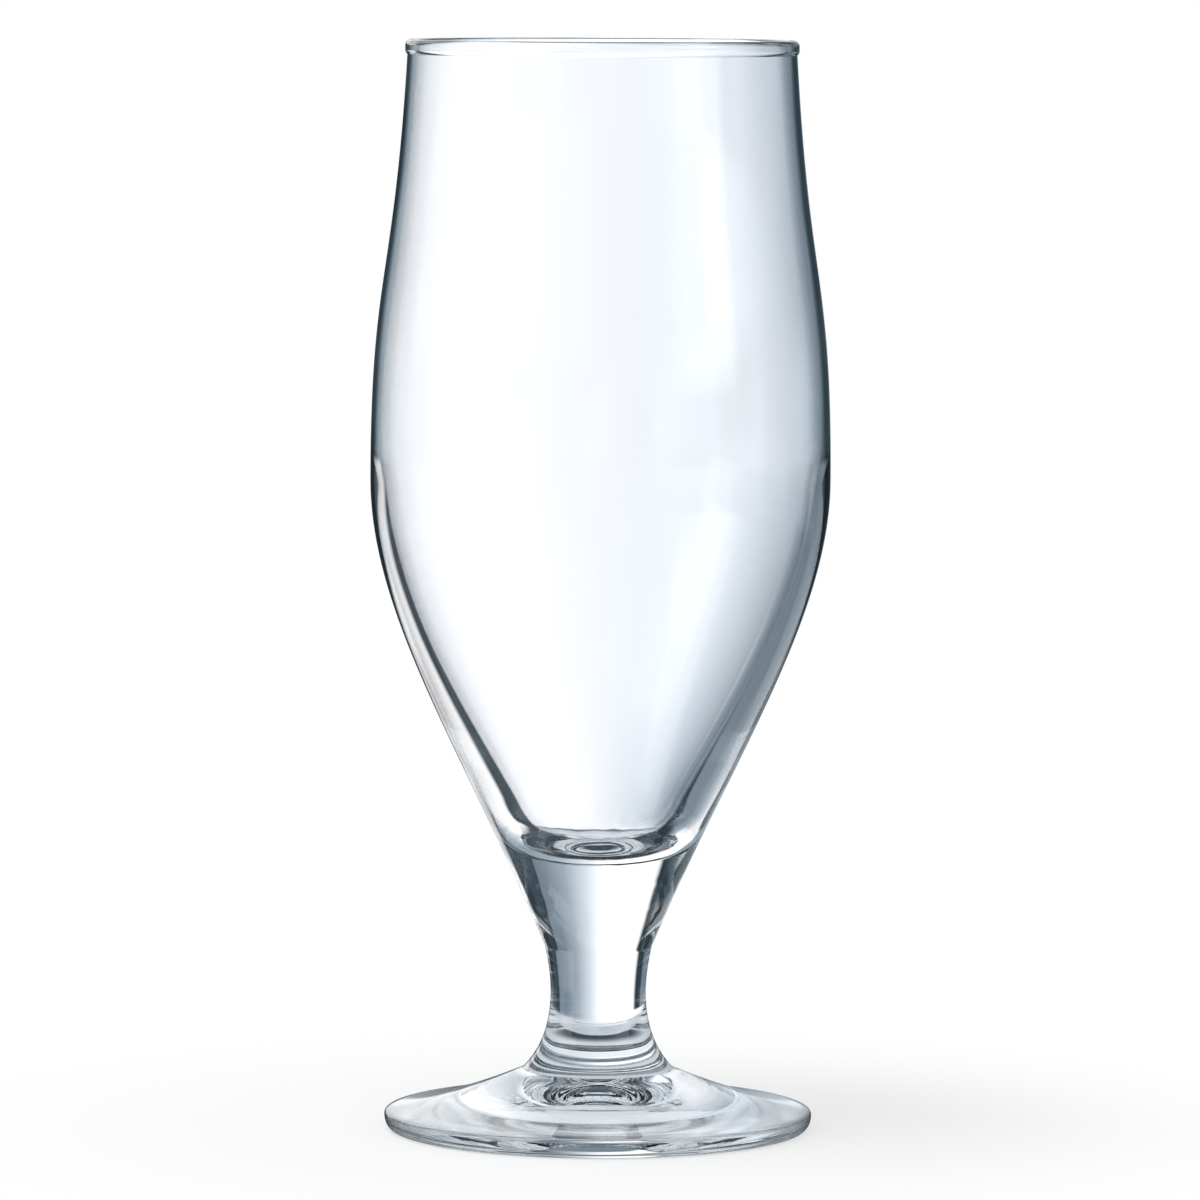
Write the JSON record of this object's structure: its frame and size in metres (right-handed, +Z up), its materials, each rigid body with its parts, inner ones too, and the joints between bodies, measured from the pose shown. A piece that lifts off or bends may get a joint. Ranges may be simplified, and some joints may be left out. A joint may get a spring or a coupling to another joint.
{
  "type": "tulip beer glass",
  "caption": "Clear stemmed tulip glass for beer: a bellied bowl that narrows to a beaded rim, on a short waisted stem and a round sloping foot.",
  "frame": {"origin": "centre of the ring under the foot, on the table's surface", "axes": "+Z up along the glass's axis, from the foot to the rim; the glass is round, so +X and +Y are free"},
  "size_m": [0.075, 0.075, 0.178],
  "materials": {
    "blown_glass": "clear soda-lime glass, blown smooth and fire polished at the lip",
    "pressed_glass": "clear soda-lime glass, pressed and drawn, fire polished"
  },
  "bodies": {
    "root": {"rim_bead": "blown_glass", "bowl": "blown_glass", "stem": "pressed_glass", "foot": "pressed_glass"}
  },
  "joints": []
}
